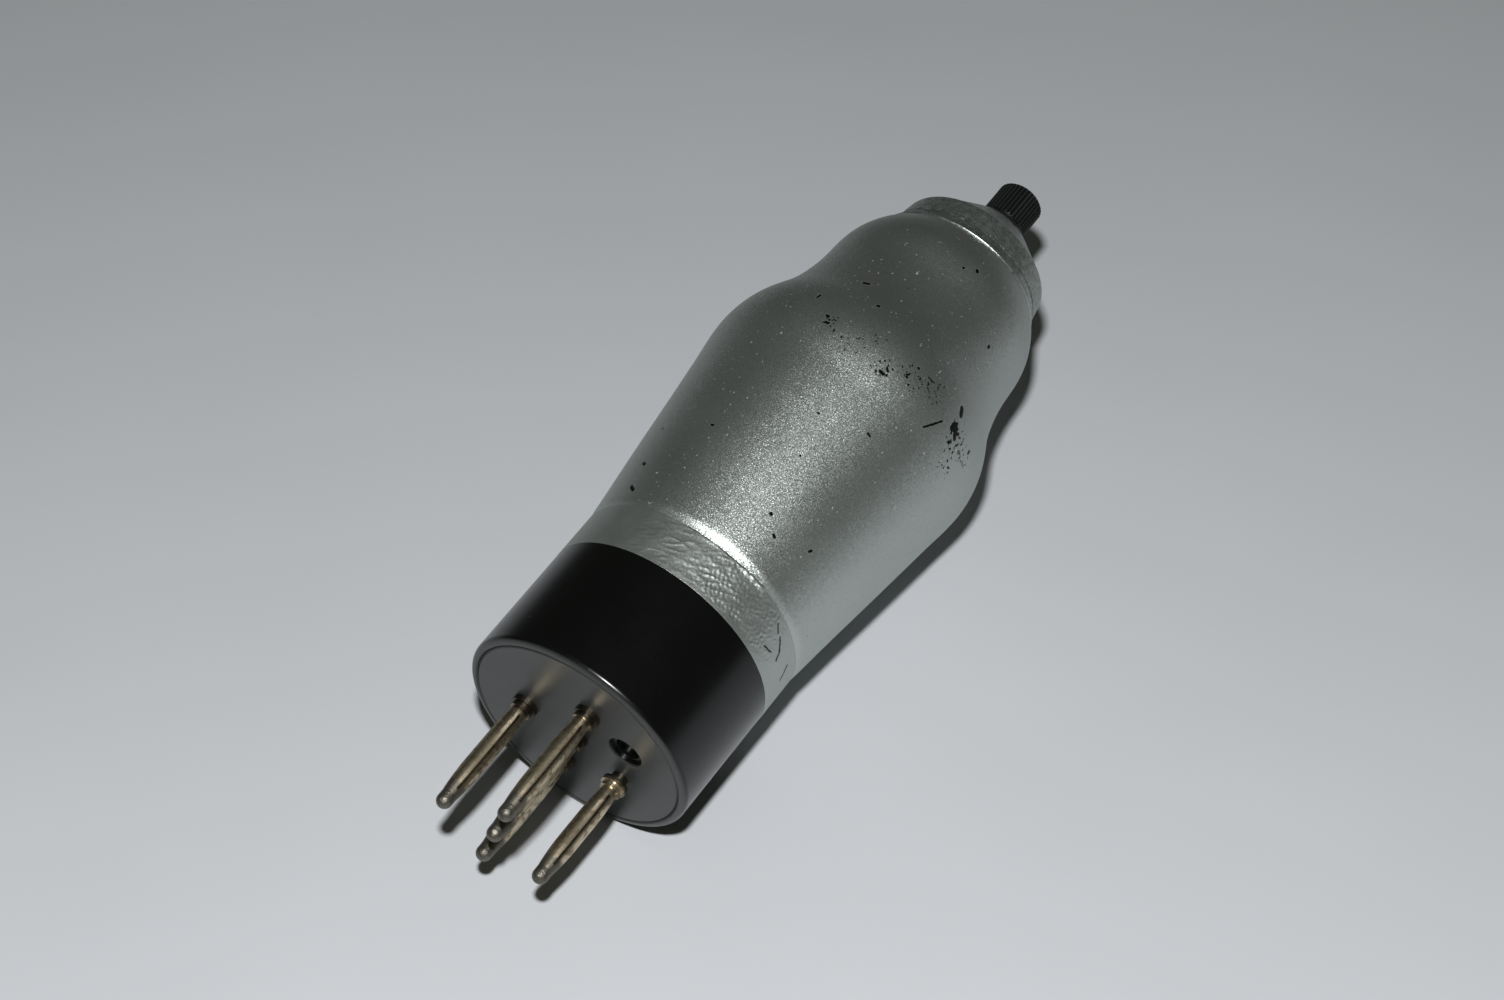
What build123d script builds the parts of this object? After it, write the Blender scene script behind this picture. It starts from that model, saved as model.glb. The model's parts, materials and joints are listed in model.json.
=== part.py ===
from build123d import *
import os
from math import cos, pi, radians, sin

# Five-pin tetrode valve with a metal-sprayed bulb, lying on its side.
#
# Every piece is drawn in the valve's own frame: the axis is Z, the flat end face of the base
# is at z = 0, the plug pins point to -Z and the top terminal to +Z. Half sections are (radius,
# height) points. At the end each piece is laid down by one placement, so that the base's rim
# and the bulb's crown both touch the floor at z = 0, with the terminal towards +X.
# All lengths are millimetres and all angles degrees.

# ---- base moulding ------------------------------------------------------------------------
BASE_R = 17.9
BASE_WALL = 1.7
BASE_FLOOR = 3.0
BASE_RIM_ROUND = 0.9
REBATE_Z = 19.2            # the wall steps in here for the contact strip
REBATE_DEPTH = 0.15
LIP_Z = 26.4               # top of the base wall
LIP_CHAMFER = 1.0
GROOVE_R = 16.6            # ring groove in the end face
GROOVE_W = 0.5
GROOVE_DEPTH = 0.3
RECESS_R = 2.7             # blind stepped recess in the end face, beside a heater pin
RECESS_FLOOR_R = 1.9
RECESS_STEP = 0.7
RECESS_DEPTH = 1.4
RECESS_AT = (2.6, 8.3)
STRIP_T = 0.2
STRIP_TOP_Z = 26.8

# ---- bulb ---------------------------------------------------------------------------------
STEM_TOP = (4.6, 20.5)     # flat end of the hollow stem, open to the base
STEM_MOUTH = (9.2, 11.4)
NECK_SEAL = (12.2, 9.5)    # rounded seal between stem and neck
NECK_FOOT = (15.2, 12.6)
NECK_TOP = (15.3, 22.6)
SEAT = (16.2, 25.6)        # the glass swells out over the lip of the base
SHOULDER = (18.06, 28.4)
FLANK_TOP = (21.45, 58.0)
CROWN = (22.12, 64.5)      # widest place
CROWN_FALL = (20.95, 71.0)
FALL = (19.15, 75.0)       # steepest place below the crown
FALL_FOOT = (17.8, 79.5)
WAIST = (17.05, 84.5)
HEAD = (16.6, 89.6)
HEAD_ROUND = (15.4, 93.0)
DOME = (13.1, 96.3)
DOME_UPPER = (9.6, 99.0)
DOME_TOP = (1.9, 101.6)
PIP = (1.3, 103.2)         # sealed pip that the top lead comes out of

# ---- top cap and terminal -----------------------------------------------------------------
CAP_RIM_Z = 97.9
CAP_RIM_R = 12.8
CAP_BORE_R = 11.3
CAP_WALL_TOP = (12.3, 101.0)
CAP_ROUND = (11.5, 102.0)
CAP_CONE_TOP = (6.3, 107.0)
CAP_BOSS = (4.3, 108.9)
CAP_TOP_Z = 109.1
CAP_CEILING = (3.8, 106.2)  # flat inside the cap that the stud's head bears on
CAP_EAVE = (9.9, 100.6)
CEMENT_FOOT = (13.1, 96.3)
CAP_CEMENT_TOP_Z = 100.0
STUD_R = 1.5
STUD_HEAD_R = 3.2
STUD_HEAD_T = 1.2
STUD_END_Z = 113.6
STUD_POINT = 0.4
WASHER_R = 3.2
WASHER_T = 0.4
NUT_R = 3.68
NUT_TOP_Z = 115.8
NUT_CHAMFER = 0.5
KNURL_COUNT = 36
KNURL_DEPTH = 0.22
INSERT_R = 2.3
INSERT_TOP_Z = 114.2
INSERT_CHAMFER = 0.35
STUD_CLEARANCE = 0.05

# ---- plug pins ----------------------------------------------------------------------------
HEATER_PITCH = 16.26       # between the two heater pins
HEATER_SET_BACK = 1.8      # heater pins stand this far behind the centre pin
CROSS_PIN_R = 7.6          # front and back pins, either side of the centre pin
PIN_SHANK_R = 1.25
PIN_FLANGE_R = 1.95
PIN_FLANGE_T = 0.8
PIN_STEP_R = 1.6
PIN_STEP_T = 0.7
PIN_NECK_R = 1.2
PIN_BOW_R = 1.5            # the sprung leaves are a plain cylinder over their middle
PIN_BOW_LENGTH = 5.0
PIN_END_R = 1.16
PIN_END_Z = -17.4
PIN_BORE_R = 0.75
RIVET_R = 1.9
RIVET_T = 0.5
SLIT_W = 0.42
SLIT_TURN = 20.0
SLIT_END_WALL = 0.9        # uncut sleeve left at each end of the slits
HEATER_RIGHT_STAND_OFF = 1.1
SOLDER_TIP_Z = -19.62
SOLDER_PLUG = 1.2

# ---- lead wires ---------------------------------------------------------------------------
LEAD_R = 0.3
LEAD_KNEE_Z = 6.5
LEAD_BEND_R = 2.5
STEM_SPREAD = 0.4          # spacing at the stem as a share of the spacing at the pins

# ---- how the valve lies -------------------------------------------------------------------
PIN_ROLL = 20.5            # roll of the pin pattern about the axis
LAY_TILT = 3.89            # the axis rises this much towards the terminal
SEAM_TURN = 10.4           # keeps the seams of the turned solids off the line they lie on


def section(point):
    """A (radius, height) point as a point of the XZ half plane."""
    return (point[0], 0, point[1])


def straight(*points):
    """Chain of straight edges through (radius, height) points."""
    corners = [section(point) for point in points]
    return Polyline(*corners)


def smooth(*points, start=None, end=None):
    """Smooth curve through (radius, height) points, with the slopes given at its ends."""
    through = [section(point) for point in points]
    tangents = [section(slope) for slope in (start, end)]
    return Spline(*through, tangents=tangents)


def arc(first, middle, last):
    """Circular arc through three (radius, height) points."""
    return ThreePointArc(section(first), section(middle), section(last))


def turned(*edges):
    """Solid of revolution about the axis, from the edges of a closed half section."""
    return Rot(0, 0, SEAM_TURN) * revolve(make_face(edges), Axis.Z)


def turned_straight(*points):
    """Solid of revolution from a straight-sided half section."""
    return turned(straight(*points, points[0]))


# ---- glass and base -----------------------------------------------------------------------
def make_bulb():
    """Sealed bulb: straight flared flank, round crown, waist, domed head and hollow stem."""
    rise = (FLANK_TOP[0] - SHOULDER[0], FLANK_TOP[1] - SHOULDER[1])
    return turned(
        straight((0, PIP[1]), (0, STEM_TOP[1]), STEM_TOP, STEM_MOUTH),
        arc(STEM_MOUTH, NECK_SEAL, NECK_FOOT),
        straight(NECK_FOOT, NECK_TOP),
        smooth(NECK_TOP, SEAT, SHOULDER, start=(0, 1), end=rise),
        straight(SHOULDER, FLANK_TOP),
        smooth(FLANK_TOP, CROWN, CROWN_FALL, FALL, FALL_FOOT, WAIST, HEAD, HEAD_ROUND, DOME,
               DOME_UPPER, DOME_TOP, start=rise, end=(-1, 0.08)),
        straight(DOME_TOP, PIP, (0, PIP[1])),
    )


def make_base_shell():
    """Moulded cup with a rounded rim, a ring groove, a rebate at the lip and five pin holes."""
    inner_r = BASE_R - BASE_WALL
    rebate_r = BASE_R - REBATE_DEPTH
    rim = BASE_RIM_ROUND
    bend = rim * (1 - cos(radians(45)))
    shell = turned(
        straight((0, 0), (BASE_R - rim, 0)),
        arc((BASE_R - rim, 0), (BASE_R - bend, bend), (BASE_R, rim)),
        straight((BASE_R, rim), (BASE_R, REBATE_Z), (rebate_r, REBATE_Z), (rebate_r, LIP_Z),
                 (inner_r + LIP_CHAMFER, LIP_Z), (inner_r, LIP_Z - LIP_CHAMFER),
                 (inner_r, BASE_FLOOR), (0, BASE_FLOOR), (0, 0)),
    )
    groove = turned_straight(
        (GROOVE_R - GROOVE_W / 2, 0),
        (GROOVE_R + GROOVE_W / 2, 0),
        (GROOVE_R, GROOVE_DEPTH),
    )
    shell -= groove
    up, side = RECESS_AT
    shell -= Pos(up, side, RECESS_STEP / 2) * Cylinder(RECESS_R, RECESS_STEP)
    shell -= Pos(up, side, RECESS_DEPTH / 2) * Cylinder(RECESS_FLOOR_R, RECESS_DEPTH)
    for x, y in PIN_PLACES.values():
        shell -= Pos(x, y, BASE_FLOOR / 2) * Cylinder(PIN_SHANK_R, BASE_FLOOR)
    return shell


def make_contact_strip():
    """Thin metal strip wrapped round the rebate; the sprayed coat of the bulb runs onto it."""
    inner_r = BASE_R - REBATE_DEPTH
    return turned_straight(
        (inner_r, REBATE_Z),
        (inner_r + STRIP_T, REBATE_Z),
        (inner_r + STRIP_T, STRIP_TOP_Z),
        (inner_r, STRIP_TOP_Z),
    )


def make_base_cement(base_shell, bulb):
    """Ring of cement between the base wall and the neck, filling the joint under the lip."""
    fill = turned_straight(
        (NECK_FOOT[0] - 1, NECK_FOOT[1] + 2),
        (BASE_R - BASE_WALL, NECK_FOOT[1] + 2),
        (BASE_R - REBATE_DEPTH, LIP_Z - LIP_CHAMFER),
        (BASE_R - REBATE_DEPTH, STRIP_TOP_Z),
        (NECK_FOOT[0] - 1, STRIP_TOP_Z),
    )
    return fill - base_shell - bulb


# ---- plug pins ----------------------------------------------------------------------------
def pin_places():
    """Where the five pins stand on the end face, by name."""
    pattern = {
        "heater_left": (-HEATER_SET_BACK, -HEATER_PITCH / 2),
        "heater_right": (-HEATER_SET_BACK, HEATER_PITCH / 2),
        "upper": (CROSS_PIN_R, 0.0),
        "centre": (0.0, 0.0),
        "lower": (-CROSS_PIN_R, 0.0),
    }
    c, s = cos(radians(PIN_ROLL)), sin(radians(PIN_ROLL))
    return {name: (x * c - y * s, x * s + y * c) for name, (x, y) in pattern.items()}


def leaf_bend(end, bow):
    """Arc from the end of a leaf that runs smoothly into its cylindrical middle at bow."""
    halfway_r = bow[0] - (bow[0] - end[0]) / 4
    return arc(end, (halfway_r, (end[1] + bow[1]) / 2), bow)


def make_pin(stand_off):
    """Hollow riveted plug pin: flange, step and four bowed leaves parted by crossed slits."""
    flange_z = -stand_off - PIN_FLANGE_T
    step_z = flange_z - PIN_STEP_T
    bow_z = (step_z + PIN_END_Z) / 2
    bow_top_z = bow_z + PIN_BOW_LENGTH / 2
    bow_foot_z = bow_z - PIN_BOW_LENGTH / 2
    rivet_z = BASE_FLOOR + RIVET_T
    pin = turned(
        straight((PIN_BORE_R, PIN_END_Z), (PIN_BORE_R, rivet_z), (RIVET_R, rivet_z),
                 (RIVET_R, BASE_FLOOR), (PIN_SHANK_R, BASE_FLOOR), (PIN_SHANK_R, -stand_off),
                 (PIN_FLANGE_R, -stand_off), (PIN_FLANGE_R, flange_z), (PIN_STEP_R, flange_z),
                 (PIN_STEP_R, step_z), (PIN_NECK_R, step_z)),
        leaf_bend((PIN_NECK_R, step_z), (PIN_BOW_R, bow_top_z)),
        straight((PIN_BOW_R, bow_top_z), (PIN_BOW_R, bow_foot_z)),
        leaf_bend((PIN_END_R, PIN_END_Z), (PIN_BOW_R, bow_foot_z)),
        straight((PIN_END_R, PIN_END_Z), (PIN_BORE_R, PIN_END_Z)),
    )
    slit_length = step_z - PIN_END_Z - 2 * SLIT_END_WALL
    for turn in (0, 90):
        slit = Box(SLIT_W, 2 * PIN_FLANGE_R, slit_length)
        pin -= Pos(0, 0, bow_z) * Rot(0, 0, PIN_ROLL + SLIT_TURN + turn) * slit
    return pin


def make_solder_bead():
    """Bead of solder that plugs the end of a pin and rounds it off."""
    nose_z = SOLDER_TIP_Z + PIN_END_R
    nose_bend = PIN_END_R * sin(radians(45))
    plug_z = PIN_END_Z + SOLDER_PLUG
    return turned(
        straight((0, SOLDER_TIP_Z), (0, plug_z), (PIN_BORE_R, plug_z), (PIN_BORE_R, PIN_END_Z),
                 (PIN_END_R, PIN_END_Z), (PIN_END_R, nose_z)),
        arc((PIN_END_R, nose_z), (nose_bend, nose_z - nose_bend), (0, SOLDER_TIP_Z)),
    )


def make_lead(x, y):
    """Lead wire from the flat end of the stem down the bore of the pin at (x, y)."""
    start = Vector(x * STEM_SPREAD, y * STEM_SPREAD, STEM_TOP[1])
    end = Vector(x, y, PIN_END_Z + SOLDER_PLUG)
    if x == 0 and y == 0:
        path = Line(start, end)
    else:
        path = FilletPolyline(start, Vector(x, y, LEAD_KNEE_Z), end, radius=LEAD_BEND_R)
    return sweep(Plane(start, z_dir=path % 0) * Circle(LEAD_R), path=path)


# ---- top cap and terminal -----------------------------------------------------------------
def make_top_cap():
    """Moulded cap: tapered wall, rounded shoulder, cone drawn up to a small flat boss."""
    slope = (CAP_CONE_TOP[0] - CAP_ROUND[0], CAP_CONE_TOP[1] - CAP_ROUND[1])
    return turned(
        straight((STUD_R, CAP_TOP_Z), (STUD_R, CAP_CEILING[1]), CAP_CEILING, CAP_EAVE,
                 (CAP_BORE_R, CAP_RIM_Z), (CAP_RIM_R, CAP_RIM_Z), CAP_WALL_TOP),
        smooth(CAP_WALL_TOP, CAP_ROUND, start=(-0.1, 1), end=slope),
        straight(CAP_ROUND, CAP_CONE_TOP),
        smooth(CAP_CONE_TOP, CAP_BOSS, start=slope, end=(-0.7, 1)),
        straight(CAP_BOSS, (CAP_BOSS[0] - 0.3, CAP_TOP_Z), (STUD_R, CAP_TOP_Z)),
    )


def make_cap_cement(top_cap, bulb):
    """Ring of cement that beds the cap on the dome and squeezes out under its rim."""
    fill = turned_straight(
        (DOME_UPPER[0] - 0.6, CEMENT_FOOT[1]),
        CEMENT_FOOT,
        (CAP_RIM_R, CAP_RIM_Z),
        (CAP_BORE_R, CAP_RIM_Z),
        (CAP_BORE_R, CAP_CEMENT_TOP_Z),
        (DOME_UPPER[0] - 0.6, CAP_CEMENT_TOP_Z),
    )
    return fill - top_cap - bulb


def make_stud():
    """Terminal stud: round head under the cap's ceiling, shank through it, pointed end."""
    ceiling_z = CAP_CEILING[1]
    return turned_straight(
        (0, ceiling_z - STUD_HEAD_T),
        (STUD_HEAD_R, ceiling_z - STUD_HEAD_T),
        (STUD_HEAD_R, ceiling_z),
        (STUD_R, ceiling_z),
        (STUD_R, STUD_END_Z - STUD_POINT),
        (STUD_R - STUD_POINT, STUD_END_Z),
        (0, STUD_END_Z),
    )


def make_top_lead():
    """Wire from the pip of the bulb up to the head of the stud."""
    length = CAP_CEILING[1] - STUD_HEAD_T - PIP[1]
    return Pos(0, 0, PIP[1] + length / 2) * Cylinder(LEAD_R, length)


def make_washer():
    """Flat washer that turns with the terminal nut, between it and the cap."""
    bore_r = STUD_R + STUD_CLEARANCE
    return turned_straight(
        (bore_r, CAP_TOP_Z),
        (WASHER_R, CAP_TOP_Z),
        (WASHER_R, CAP_TOP_Z + WASHER_T),
        (bore_r, CAP_TOP_Z + WASHER_T),
    )


def make_insert():
    """Threaded bush moulded into the terminal nut."""
    foot_z = CAP_TOP_Z + WASHER_T
    bore_r = STUD_R + STUD_CLEARANCE
    return turned_straight(
        (bore_r, foot_z),
        (INSERT_R, foot_z),
        (INSERT_R, INSERT_TOP_Z - INSERT_CHAMFER),
        (INSERT_R - INSERT_CHAMFER, INSERT_TOP_Z),
        (bore_r, INSERT_TOP_Z),
    )


def make_nut():
    """Closed thumb nut moulded round its insert, with a straight knurl and chamfered ends."""
    foot_z = CAP_TOP_Z + WASHER_T
    blank = turned_straight(
        (0, INSERT_TOP_Z),
        (INSERT_R - INSERT_CHAMFER, INSERT_TOP_Z),
        (INSERT_R, INSERT_TOP_Z - INSERT_CHAMFER),
        (INSERT_R, foot_z),
        (NUT_R - NUT_CHAMFER, foot_z),
        (NUT_R, foot_z + NUT_CHAMFER),
        (NUT_R, NUT_TOP_Z - NUT_CHAMFER),
        (NUT_R - NUT_CHAMFER, NUT_TOP_Z),
        (0, NUT_TOP_Z),
    )
    step = pi / KNURL_COUNT
    radii = [NUT_R if index % 2 == 0 else NUT_R - KNURL_DEPTH for index in range(2 * KNURL_COUNT)]
    teeth = [(r * cos(index * step), r * sin(index * step)) for index, r in enumerate(radii)]
    knurl = extrude(Pos(0, 0, foot_z) * make_face(Polyline(*teeth, close=True)), NUT_TOP_Z - foot_z)
    return blank & knurl


# ---- assembly -----------------------------------------------------------------------------
PIN_PLACES = pin_places()


def make_pieces():
    """Every piece in the valve's own frame, by name."""
    bulb = make_bulb()
    base_shell = make_base_shell()
    top_cap = make_top_cap()
    pieces = {
        "bulb": bulb,
        "base_shell": base_shell,
        "contact_strip": make_contact_strip(),
        "base_cement": make_base_cement(base_shell, bulb),
        "top_cap": top_cap,
        "cap_cement": make_cap_cement(top_cap, bulb),
        "terminal_stud": make_stud(),
        "top_lead": make_top_lead(),
        "terminal_washer": make_washer(),
        "nut_insert": make_insert(),
        "terminal_nut": make_nut(),
    }
    for name, (x, y) in PIN_PLACES.items():
        stand_off = HEATER_RIGHT_STAND_OFF if name == "heater_right" else 0.0
        pieces[f"pin_{name}"] = Pos(x, y, 0) * make_pin(stand_off)
        pieces[f"solder_{name}"] = Pos(x, y, 0) * make_solder_bead()
        pieces[f"lead_{name}"] = make_lead(x, y)
    return pieces


def lay_down(pieces):
    """Lay the valve on its side, centred over the origin, with its lowest points at z = 0."""
    tilt = radians(LAY_TILT)
    lying = Plane(origin=(0, 0, 0), x_dir=(-sin(tilt), 0, cos(tilt)), z_dir=(cos(tilt), 0, sin(tilt)))
    laid = {name: lying.location * piece for name, piece in pieces.items()}
    box = Compound(list(laid.values())).bounding_box()
    middle = box.center()
    return {name: Pos(-middle.X, -middle.Y, -box.min.Z) * piece for name, piece in laid.items()}


os.makedirs("parts", exist_ok=True)
for node, solid in lay_down(make_pieces()).items():
    export_step(solid, f"parts/{node}.step")
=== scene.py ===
import json
import math

import bpy
import numpy as np
from bpy.props import FloatProperty, FloatVectorProperty, IntProperty, PointerProperty
from mathutils import Matrix, Vector


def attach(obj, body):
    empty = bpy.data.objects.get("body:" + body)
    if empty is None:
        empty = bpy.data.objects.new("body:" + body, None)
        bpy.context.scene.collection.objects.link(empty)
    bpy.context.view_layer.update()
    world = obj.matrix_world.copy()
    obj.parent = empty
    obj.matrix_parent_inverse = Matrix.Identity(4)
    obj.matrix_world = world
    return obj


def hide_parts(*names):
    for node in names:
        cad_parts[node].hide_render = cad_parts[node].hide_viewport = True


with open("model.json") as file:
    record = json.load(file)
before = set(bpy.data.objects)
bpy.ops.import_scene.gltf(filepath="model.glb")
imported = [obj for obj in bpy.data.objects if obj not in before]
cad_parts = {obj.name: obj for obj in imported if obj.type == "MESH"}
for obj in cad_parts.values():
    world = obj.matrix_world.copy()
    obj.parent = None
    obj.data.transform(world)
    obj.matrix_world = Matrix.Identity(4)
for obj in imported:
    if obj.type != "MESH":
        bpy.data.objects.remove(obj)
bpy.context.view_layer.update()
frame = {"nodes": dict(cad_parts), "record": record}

bl_info = {
    "name": "Sprayed valve dressing",
    "version": (1, 0, 0),
    "blender": (4, 5, 0),
    "location": "3D View > Sidebar > Valve",
    "description": "Finishes, sprayed skins and stage for a five-pin valve that lies on a table",
    "category": "Object",
}

MM = 0.001

# ---- the valve's own frame, from its mounts -------------------------------------------------
# AXIS runs from the pins to the terminal, UP is square to it on the upper side, and SIDE
# completes them. Heights run along AXIS from the flat end of the base; a turn of zero is UP.
MOUNTS = {mount["name"]: mount for mount in frame["record"]["mounts"]}
AXIS = np.array(MOUNTS["top_terminal"]["axis"])
UP = np.array((-AXIS[2], 0.0, AXIS[0]))
SIDE = np.cross(AXIS, UP)
TERMINAL = np.array(MOUNTS["top_terminal"]["pos_m"])
FACE_POINT = np.array(MOUNTS["base_face"]["pos_m"])
FACE_CENTRE = TERMINAL - AXIS * np.dot(TERMINAL - FACE_POINT, AXIS)

# ---- outlines as (radius, height), millimetres ----------------------------------------------
STEM_TOP = (4.6, 20.5)
STEM_MOUTH = (9.2, 11.4)
NECK_SEAL = (12.2, 9.5)
NECK_FOOT = (15.2, 12.6)
NECK_TOP = (15.3, 22.6)
SEAT = (16.2, 25.6)
SHOULDER = (18.06, 28.4)
FLANK_TOP = (21.45, 58.0)
FLANK_RISE = np.subtract(FLANK_TOP, SHOULDER)
CROWN_TO_DOME = [FLANK_TOP, (22.12, 64.5), (20.95, 71.0), (19.15, 75.0), (17.8, 79.5),
                 (17.05, 84.5), (16.6, 89.6), (15.4, 93.0), (13.1, 96.3), (9.6, 99.0), (1.9, 101.6)]
PIP = (1.3, 103.2)

# The bead of cement under the cap's rim, and the thin wall of cement above it.
BEAD_CENTRE = (13.55, 95.85)
BEAD_R = 0.23
CEMENT_LIP = (12.9, 96.9)
CEMENT_TOP = (12.75, 97.9)
CEMENT_INNER = (12.1, 97.9)
CEMENT_COLUMNS = 360

# ---- radii and heights, millimetres ---------------------------------------------------------
REBATE_R = 17.75
REBATE_Z = 19.2
STRIP_R = REBATE_R + 0.2
STRIP_TOP_Z = 26.8
STRIP_COLUMNS = 720
SPRAY_STOPS_Z = 106.7  # on the cap's boss
ABOVE_ALL_Z = 1000.0  # a height that nothing reaches

# ---- camera and lamp ------------------------------------------------------------------------
CAMERA_FROM_FACE = (-224.7, -180.4, 377.3)  # millimetres from the middle of the base's flat end
CAMERA_GAZE = (0.545, 0.368, -0.753)
SENSOR_MM = 36.0
LAMP_FROM_CAMERA = (-0.011, 0.092, 0.0)  # metres to the right, up and back
LAMP_AIM = (-0.24, -0.14, 0.0)

# ---- colours that no setting changes --------------------------------------------------------
BARE_CAP = (0.016, 0.013, 0.009)
# painted reflection of the table on the base's flat end
END_FACE_REFLECTION = (0.034, 0.037, 0.036)
DUST = (0.30, 0.29, 0.27)
# painted highlight on the outer ridges of the nut's knurl
KNURL_HIGHLIGHT = (0.025, 0.029, 0.029)
PIN_TIP, PIN_TIP_DARK = (0.24, 0.225, 0.18), (0.09, 0.082, 0.065)
# painted shade for the pins' collars where they meet the base's face
COLLAR_SHADE = (0.035, 0.03, 0.024)
BRASS, BRASS_DARK = (0.55, 0.40, 0.18), (0.30, 0.21, 0.10)
SOLDER, SOLDER_DARK = (0.25, 0.235, 0.20), (0.06, 0.055, 0.045)
TINNED, TINNED_DARK = (0.60, 0.57, 0.53), (0.35, 0.32, 0.28)


def place(radius, height, turn):
    """Points in metres from radius and height in millimetres and turn in radians."""
    radius, height, turn = np.broadcast_arrays(radius, height, turn)
    around = np.cos(turn)[..., None] * UP + np.sin(turn)[..., None] * SIDE
    return FACE_CENTRE + MM * (height[..., None] * AXIS + radius[..., None] * around)


def spot(height, turn_degrees, radius):
    """One point on the valve, from its height, turn in degrees and radius."""
    return place(np.array(radius), np.array(height), np.array(math.radians(turn_degrees)))


# ---- curves and surfaces --------------------------------------------------------------------
def smooth_curve(points, start, end, steps):
    """Cubic curve through points, with the directions given at its ends.

    The parameter is the running chord length. The slopes at the inner points are those that
    make the second derivative continuous, and each span is the cubic Hermite blend of its two
    points and slopes.
    """
    through = np.array(points, float)
    chord = np.linalg.norm(np.diff(through, axis=0), axis=1)
    knots = np.concatenate([[0.0], np.cumsum(chord)])
    count = len(through)
    matrix = np.eye(count)
    right = np.zeros((count, 2))
    right[0] = np.array(start) / np.linalg.norm(start)
    right[-1] = np.array(end) / np.linalg.norm(end)
    inner = np.arange(1, count - 1)
    matrix[inner, inner - 1] = chord[1:]
    matrix[inner, inner] = 2 * (chord[:-1] + chord[1:])
    matrix[inner, inner + 1] = chord[:-1]
    climb = np.diff(through, axis=0) / chord[:, None]
    right[1:-1] = 3 * (climb[:-1] * chord[1:, None] + climb[1:] * chord[:-1, None])
    slopes = np.linalg.solve(matrix, right)
    where = np.linspace(0.0, knots[-1], steps)
    span = np.clip(np.searchsorted(knots, where, side="right") - 1, 0, count - 2)
    size = chord[span][:, None]
    t = ((where - knots[span]) / chord[span])[:, None]
    return ((2 * t**3 - 3 * t**2 + 1) * through[span] + (t**3 - 2 * t**2 + t) * size * slopes[span]
            + (3 * t**2 - 2 * t**3) * through[span + 1] + (t**3 - t**2) * size * slopes[span + 1])


def bent(first, middle, last, steps):
    """Circular arc through three points, worked out from the centre of their circle."""
    a, b, c = (np.array(point, float) for point in (first, middle, last))
    apart = 2 * np.array([b - a, c - a])
    centre = np.linalg.solve(apart, np.array([b @ b - a @ a, c @ c - a @ a]))
    angles = np.unwrap([math.atan2(*(point - centre)[::-1]) for point in (a, b, c)])
    sweep = np.linspace(angles[0], angles[2], steps)
    return centre + np.linalg.norm(a - centre) * np.stack([np.cos(sweep), np.sin(sweep)], axis=1)


def run(first, last, steps):
    """Evenly spaced points on a straight line."""
    return np.linspace(first, last, steps)


def joined(*stretches):
    """One outline from stretches that meet end to end, without the doubled points."""
    return np.concatenate([stretches[0], *(stretch[1:] for stretch in stretches[1:])])


def outward(outline):
    """Unit normals of an outline whose outer wall rises: the tangent turned clockwise."""
    tangent = np.gradient(outline, axis=0)
    normal = np.stack([tangent[:, 1], -tangent[:, 0]], axis=1)
    return normal / np.maximum(np.linalg.norm(normal, axis=1, keepdims=True), 1e-9)


def mesh_piece(name, points, faces, body):
    """A smooth-shaded mesh object whose mesh holds its place, riding on a body."""
    mesh = bpy.data.meshes.new(name)
    mesh.from_pydata(points.reshape(-1, 3).tolist(), [], faces)
    mesh.polygons.foreach_set("use_smooth", np.ones(len(mesh.polygons), bool))
    mesh.update()
    piece = bpy.data.objects.new(name, mesh)
    bpy.context.scene.collection.objects.link(piece)
    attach(piece, body)
    return piece


def ring_faces(rows, columns, closed):
    """Quads of a grid that wraps round in turn, and along the outline too if it is closed."""
    last = rows if closed else rows - 1
    i, j = np.meshgrid(np.arange(last), np.arange(columns), indexing="ij")
    after, beside = (i + 1) % rows, (j + 1) % columns
    quads = np.stack([i * columns + j, i * columns + beside,
                      after * columns + beside, after * columns + j], axis=-1)
    return quads.reshape(-1, 4).tolist()


def turned_skin(name, outline, columns, body, relief, closed=False):
    """Surface of revolution place(r(s), h(s), turn), with relief(height, turn) along its normal.

    The outline runs so that its outer wall rises. An open one has a pole on the axis at each
    end, closed by a fan; a closed one is a ring.
    """
    turn = np.linspace(0.0, 2 * math.pi, columns, endpoint=False)[None, :]
    kept = slice(None) if closed else slice(1, -1)
    rings, normal = outline[kept], outward(outline)[kept]
    radius, height = rings[:, :1], rings[:, 1:]
    lift = relief(height, turn)
    points = place(radius + lift * normal[:, :1], height + lift * normal[:, 1:], turn).reshape(-1, 3)
    faces = ring_faces(len(rings), columns, closed)
    if not closed:
        first, last = len(points), len(points) + 1
        top_ring = (len(rings) - 1) * columns
        poles = place(np.zeros(2), outline[[0, -1], 1], np.zeros(2))
        points = np.concatenate([points, poles])
        j = np.arange(columns)
        beside = (j + 1) % columns
        faces += np.stack([np.full(columns, first), beside, j], axis=1).tolist()
        faces += np.stack([np.full(columns, last), top_ring + j, top_ring + beside], axis=1).tolist()
    return mesh_piece(name, points, faces, body)


def waves(height, turn, seed, count, lobes, pitch):
    """Smooth random field on a tube, about -1 to 1: a sum of seeded cosines.

    Each of the count cosines has a whole number of waves round the tube, up to lobes, so the
    field closes on itself, and a wavelength along it of at least pitch millimetres.
    """
    draw = np.random.default_rng(seed)
    field = np.zeros(np.broadcast(height, turn).shape)
    for around, along, phase in zip(draw.integers(-lobes, lobes + 1, count),
                                    draw.uniform(-1, 1, count) * 2 * math.pi / pitch,
                                    draw.uniform(0, 2 * math.pi, count)):
        field += np.cos(around * turn + along * height + phase)
    return field / math.sqrt(count / 2) / 2


def step_up(value, low, high):
    """Smooth rise from 0 at low to 1 at high."""
    t = np.clip((value - low) / (high - low), 0.0, 1.0)
    return t * t * (3 - 2 * t)


def turn_gap(turn, degrees):
    """Signed angle from a place round the valve, in degrees from -180 to 180."""
    return (np.degrees(turn) - degrees + 180.0) % 360.0 - 180.0


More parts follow.
